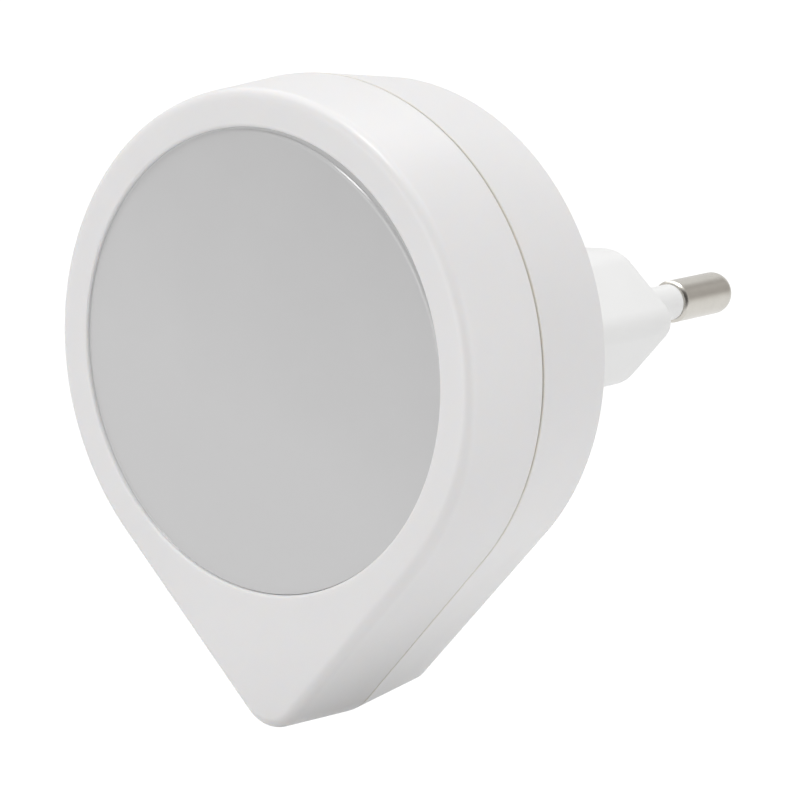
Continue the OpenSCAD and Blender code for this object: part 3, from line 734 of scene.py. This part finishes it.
def plug_neck(casing, plug, finish):
    """The plug's hollow neck with its flange, its closed end and the wells of the two sleeves."""
    q, hold, chamfer = plug.end_round, 0.05 * MM, 0.1 * MM
    back, floor = BACK_Y - casing.back_t, PLUG_Y - plug.end_t
    flange = back - plug.flange_t
    well_r = plug.sleeve_r + casing.slip
    bm = bmesh.new()
    add_rings(bm, [hexagon(plug, plug.flange_w, flange), hexagon(plug, plug.flange_w, back),
                   hexagon(plug, 0, back), hexagon(plug, 0, PLUG_Y - q - hold),
                   *[hexagon(plug, -q * (1 - cosine), PLUG_Y - q * (1 - sine)) for sine, cosine in QUARTER],
                   hexagon(plug, -q - hold, PLUG_Y)])
    add_rings(bm, [hexagon(plug, -plug.wall, flange), hexagon(plug, -plug.wall, floor)])
    bore = ((well_r + chamfer, 0), (well_r, -chamfer), (well_r, -plug.sleeve_sink),
            (plug.core_r, -plug.sleeve_sink), (plug.core_r, -plug.end_t))
    for side in (-1, 1):
        place = along_pin(plug, side)
        rings = [[place @ Vector(point) for point in circle(r, y, WELL_STEPS)] for r, y in bore]
        for ring, y in ((rings[0], PLUG_Y), (rings[-1], floor)):
            for point in ring:
                point.y = y
        add_rings(bm, rings)
    bmesh.ops.remove_doubles(bm, verts=bm.verts, dist=TINY)
    for y in (PLUG_Y, floor, flange):
        fill_flat(bm, y)
    return piece_from("plug_neck", bm, finish, "plug_body")


def pin_section(plug):
    """A pin's section: tail, head and core inside the plug, and the bare end with its rounded nose."""
    seat, head = -plug.end_t, -plug.end_t + plug.head_t
    bare, top, r, q = plug.pin_l - plug.bare_l, plug.pin_l, plug.pin_r, plug.nose_round
    hold = 0.03 * MM
    start, end = (90 - a for a in COLLAR_ARC)
    reach, rise = cos(radians(end)), sin(radians(start))
    collar = [(r + (x - reach) * plug.collar_r, bare + (rise - y) * plug.collar_r)
              for x, y in arc(0, 0, 1, start, end, 3)]
    return ([(0, seat - plug.tail_l), (plug.tail_r, seat - plug.tail_l), (plug.tail_r, seat),
             (plug.head_r, seat), (plug.head_r, head), (plug.core_r, head), (plug.core_r, bare),
             *collar, (r, top - q - hold)]
            + arc(r - q, top - q, q, 0, 90, 14) + [(0, top)])


def sleeve_section(plug):
    """A sleeve's section: a tube round the pin's core, with rounded ends."""
    inner, r, q, hold = plug.core_r, plug.sleeve_r, plug.sleeve_round, 0.02 * MM
    bottom, top = -plug.sleeve_sink, plug.pin_l - plug.bare_l - plug.collar_gap
    return ([(inner, bottom), (r, bottom), (r, top - q - hold)]
            + arc(r - q, top - q, q, 0, 90, 4) + [(inner, top), (inner, bottom)])


# ------------------------------------------------------------
# Operators

def settings():
    """The sizes and colours, as they are set in the scene."""
    return bpy.context.scene.night_light


class NIGHTLIGHT_OT_casing(bpy.types.Operator):
    """Make the front and the rear shell"""
    bl_idname = "nightlight.casing"
    bl_label = "Casing"

    def execute(self, context):
        light = settings()
        finish = casing_white(light.casing, light.colours)
        front_shell(light.casing, light.lens, finish)
        rear_shell(light.casing, light.plug, finish)
        return {'FINISHED'}


class NIGHTLIGHT_OT_lens(bpy.types.Operator):
    """Make the opal lens"""
    bl_idname = "nightlight.lens"
    bl_label = "Lens"

    def execute(self, context):
        light = settings()
        opal_disc(light.casing, light.lens, opal_lens(light.colours.lens))
        return {'FINISHED'}


class NIGHTLIGHT_OT_plug(bpy.types.Operator):
    """Make the plug's neck"""
    bl_idname = "nightlight.plug"
    bl_label = "Plug"

    def execute(self, context):
        light = settings()
        plug_neck(light.casing, light.plug, plug_white(light.colours.plug))
        return {'FINISHED'}


class NIGHTLIGHT_OT_pins(bpy.types.Operator):
    """Make the two pins and their sleeves"""
    bl_idname = "nightlight.pins"
    bl_label = "Pins"

    def execute(self, context):
        light = settings()
        nickel = pin_nickel(light.colours.pins)
        white = moulded("sleeve_white", light.colours.plug, rough=(0.32, 0.42)).material
        kinds = (("pin", pin_section, nickel, "pin_nickel"),
                 ("sleeve", sleeve_section, white, "sleeve_white"))
        for side, name in ((-1, "left"), (1, "right")):
            for part, section, finish, slot in kinds:
                bm = turned_piece(section(light.plug), PIN_STEPS, finish)
                bm.transform(along_pin(light.plug, side))
                piece_from(f"{name}_plug_{part}", bm, finish, f"{name}_{part}")
        return {'FINISHED'}


class NIGHTLIGHT_OT_inside(bpy.types.Operator):
    """Give the parts inside the casing their finishes"""
    bl_idname = "nightlight.inside"
    bl_label = "Inner Parts"

    def execute(self, context):
        for name, rgb, rough, grain, more, starts in INNER_FINISHES:
            material = plain(name, rgb, rough, grain, **more)
            for part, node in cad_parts.items():
                if part.startswith(starts):
                    node.data.materials.clear()
                    node.data.materials.append(material)
        return {'FINISHED'}


# Width of the camera's sensor in millimetres, and in metres where its view starts and ends
SENSOR_W, CAMERA_CLIP = 36, (0.01, 100)
# How far the lamps stand from the night light
LAMP_DISTANCE = 0.7
# Each lamp: its name, direction from the night light, width and power
LAMPS = (("top", (-0.1, 0.1, 1), 1.0, 3.1),
         ("key", (0.107, -0.347, 0.933), 0.16, 1.1),
         ("front", (-0.25, -1, 0), 0.45, 1.06),
         ("front left", (-0.75, -0.65, -0.05), 0.7, 0.5),
         ("right", (1, 0.22, -0.15), 0.8, 2.25))


def aim(place, target):
    """A matrix at place whose -z axis points at target."""
    return Matrix.Translation(place) @ (target - place).to_track_quat('-Z', 'Y').to_matrix().to_4x4()


def to_camera(stage):
    """The direction from the night light to the camera."""
    a, e = stage.azimuth, stage.elevation
    return Vector((sin(a) * cos(e), -cos(a) * cos(e), sin(e)))


def add_camera(stage):
    """The camera, which looks at the stage's target."""
    target = Vector(stage.target)
    data = bpy.data.cameras.new("camera")
    data.sensor_fit, data.sensor_width, data.lens = 'HORIZONTAL', SENSOR_W, stage.focal
    data.clip_start, data.clip_end = CAMERA_CLIP
    camera = bpy.data.objects.new("camera", data)
    camera.matrix_world = (aim(target + to_camera(stage) * stage.distance, target)
                           @ Matrix.Rotation(stage.roll, 4, 'Z'))
    bpy.context.scene.collection.objects.link(camera)
    bpy.context.scene.camera = camera


def add_softbox(name, direction, size, power):
    """A square area lamp that faces the middle of the night light."""
    middle = Vector((0, FRONT_Y / 2, 0))
    data = bpy.data.lights.new(name, 'AREA')
    data.size, data.energy = size, power
    lamp = bpy.data.objects.new(name, data)
    lamp.matrix_world = aim(middle + Vector(direction).normalized() * LAMP_DISTANCE, middle)
    bpy.context.scene.collection.objects.link(lamp)


WHITE, BLACK = (1, 1, 1, 1), (0, 0, 0, 1)
# Height of a direction above the horizon, from -1 to 1, and how bright the studio looks there in gloss
GLOSS_LEVELS = ((-0.41, 0.98), (-0.26, 0.95), (-0.15, 0.87), (-0.09, 0.81), (-0.03, 0.70), (0.03, 0.60),
                (0.11, 0.50), (0.20, 0.51), (0.31, 0.54), (0.44, 0.60), (0.50, 0.54), (0.53, 0.46),
                (0.57, 0.44), (0.70, 0.75), (0.85, 1.0))
# How warm the darker levels are
GLOSS_WARMTH = 0.07
# How white gloss is on the left and how black round the camera: two places, given by the direction's x and
# by how straight it points at the camera, and the share at each
WHITE_LEFT, DARK_CAMERA = (-0.12, 0.18, 0.6, 0), (0.7, 0.95, 0, 0.8)


def add_world(stage):
    """White where it is seen and softer where it only lights; gloss shows a darker room above the horizon and
    round the camera."""
    world = bpy.data.worlds.new("studio")
    world.use_nodes = True
    tree = world.node_tree
    path = add_node(tree, 'ShaderNodeLightPath').outputs
    way = add_node(tree, 'ShaderNodeTexCoord').outputs["Generated"]
    direction = add_node(tree, 'ShaderNodeSeparateXYZ', {0: way}).outputs
    height = add_node(tree, 'ShaderNodeValToRGB', {"Fac": spread(tree, direction["Z"], -1, 1, 0, 1)})
    ramp = height.color_ramp.elements
    while len(ramp) < len(GLOSS_LEVELS):
        ramp.new(1)
    for element, (place, level) in zip(ramp, GLOSS_LEVELS):
        warm = GLOSS_WARMTH * min(1, 2 * (1 - level))
        element.position = (place + 1) / 2
        element.color = (level, level * (1 - warm / 2), level * (1 - warm), 1)
    gloss = blend(tree, spread(tree, direction["X"], *WHITE_LEFT), height.outputs["Color"], WHITE)
    facing = add_node(tree, 'ShaderNodeVectorMath', {0: way, 1: to_camera(stage)}, operation='DOT_PRODUCT')
    gloss = blend(tree, spread(tree, facing.outputs["Value"], *DARK_CAMERA), gloss, BLACK)
    light = blend(tree, path["Is Glossy Ray"], (*[stage.ambient] * 3, 1), gloss)
    seen = either(tree, path["Is Camera Ray"], path["Is Transmission Ray"])
    tree.links.new(blend(tree, seen, light, WHITE), tree.nodes["Background"].inputs["Color"])
    bpy.context.scene.world = world


# The floor's half width, colour, glow, and the share of that glow where it is seen
FLOOR_HALF, FLOOR_COLOUR, FLOOR_GLOW, GLOW_SHARE = 30.0, (0.9, 0.9, 0.9, 1), 1.3, 0.8


def add_floor(stage):
    """A pale floor well below the light, which is white to the camera and keeps some of its shadow."""
    material = bpy.data.materials.new("floor")
    material.use_nodes = True
    tree = material.node_tree
    tree.nodes.remove(tree.nodes["Principled BSDF"])
    path = add_node(tree, 'ShaderNodeLightPath').outputs
    seen = either(tree, path["Is Camera Ray"], path["Is Glossy Ray"], path["Is Transmission Ray"])
    mix = add_node(tree, 'ShaderNodeMixShader', {
        "Fac": spread(tree, seen, 0, 1, 0, GLOW_SHARE),
        1: add_node(tree, 'ShaderNodeBsdfDiffuse', {"Color": FLOOR_COLOUR}).outputs[0],
        2: add_node(tree, 'ShaderNodeEmission', {"Strength": FLOOR_GLOW}).outputs[0]})
    tree.links.new(mix.outputs[0], tree.nodes["Material Output"].inputs["Surface"])
    floor = flat_card("floor", FLOOR_HALF, FLOOR_HALF, (0, 0, -stage.floor_drop), material)
    floor.visible_glossy = False


def flat_card(name, half_x, half_y, middle, material):
    """A level card with its middle at a place."""
    mesh = bpy.data.meshes.new(name)
    corners = ((-1, -1), (1, -1), (1, 1), (-1, 1))
    mesh.from_pydata([(middle[0] + x * half_x, middle[1] + y * half_y, middle[2]) for x, y in corners],
                     [], [(0, 1, 2, 3)])
    mesh.materials.append(material)
    card = bpy.data.objects.new(name, mesh)
    bpy.context.scene.collection.objects.link(card)
    return card


# The grey card under the tip: its colour, half its width and depth, and its middle, as steps to the right of
# and behind the casing's face and below the tip
FLAG_COLOUR, FLAG_HALF, FLAG_PLACE = (0.4, 0.4, 0.39, 1), (10 * MM, 12 * MM), (8 * MM, 8 * MM, 2.5 * MM)


def add_flag():
    """A grey card close under the tip, which only shades it and isn't seen."""
    material = bpy.data.materials.new("flag")
    material.use_nodes = True
    shader = material.node_tree.nodes["Principled BSDF"]
    shader.inputs["Base Color"].default_value = FLAG_COLOUR
    shader.inputs["Roughness"].default_value = 1
    right, behind, below = FLAG_PLACE
    card = flat_card("flag", *FLAG_HALF, (right, FRONT_Y + behind, -TIP_REACH - below), material)
    card.visible_camera = card.visible_glossy = False


class NIGHTLIGHT_OT_stage(bpy.types.Operator):
    """Set up the camera, the lamps, the white surroundings and the floor"""
    bl_idname = "nightlight.stage"
    bl_label = "Stage"

    def execute(self, context):
        stage = settings().stage
        add_camera(stage)
        add_world(stage)
        add_floor(stage)
        add_flag()
        for lamp in LAMPS:
            add_softbox(*lamp)
        context.scene.view_settings.view_transform = 'Standard'
        return {'FINISHED'}


STEPS = (NIGHTLIGHT_OT_stage, NIGHTLIGHT_OT_casing, NIGHTLIGHT_OT_lens, NIGHTLIGHT_OT_plug,
         NIGHTLIGHT_OT_pins, NIGHTLIGHT_OT_inside)


class NIGHTLIGHT_PT_panel(bpy.types.Panel):
    """Lists the steps and the sizes of the night light"""
    bl_idname = "NIGHTLIGHT_PT_panel"
    bl_label = "Night Light"
    bl_space_type = 'VIEW_3D'
    bl_region_type = 'UI'
    bl_category = "Night Light"

    def draw(self, context):
        for step in STEPS:
            self.layout.operator(step.bl_idname)
        for name in GROUPS:
            box = self.layout.box()
            box.label(text=name.title())
            group = getattr(settings(), name)
            for size in group.__annotations__:
                box.prop(group, size)


CLASSES = (*GROUPS.values(), NightLight, *STEPS, NIGHTLIGHT_PT_panel)


def register():
    """Adds the classes, and the sizes to the scene."""
    for cls in CLASSES:
        bpy.utils.register_class(cls)
    bpy.types.Scene.night_light = PointerProperty(type=NightLight)


def unregister():
    """Takes them out again."""
    del bpy.types.Scene.night_light
    for cls in reversed(CLASSES):
        bpy.utils.unregister_class(cls)


def main():
    """Makes the night light step by step."""
    register()
    for step in STEPS:
        area, name = step.bl_idname.split(".")
        getattr(getattr(bpy.ops, area), name)()


if __name__ == "__main__":
    main()
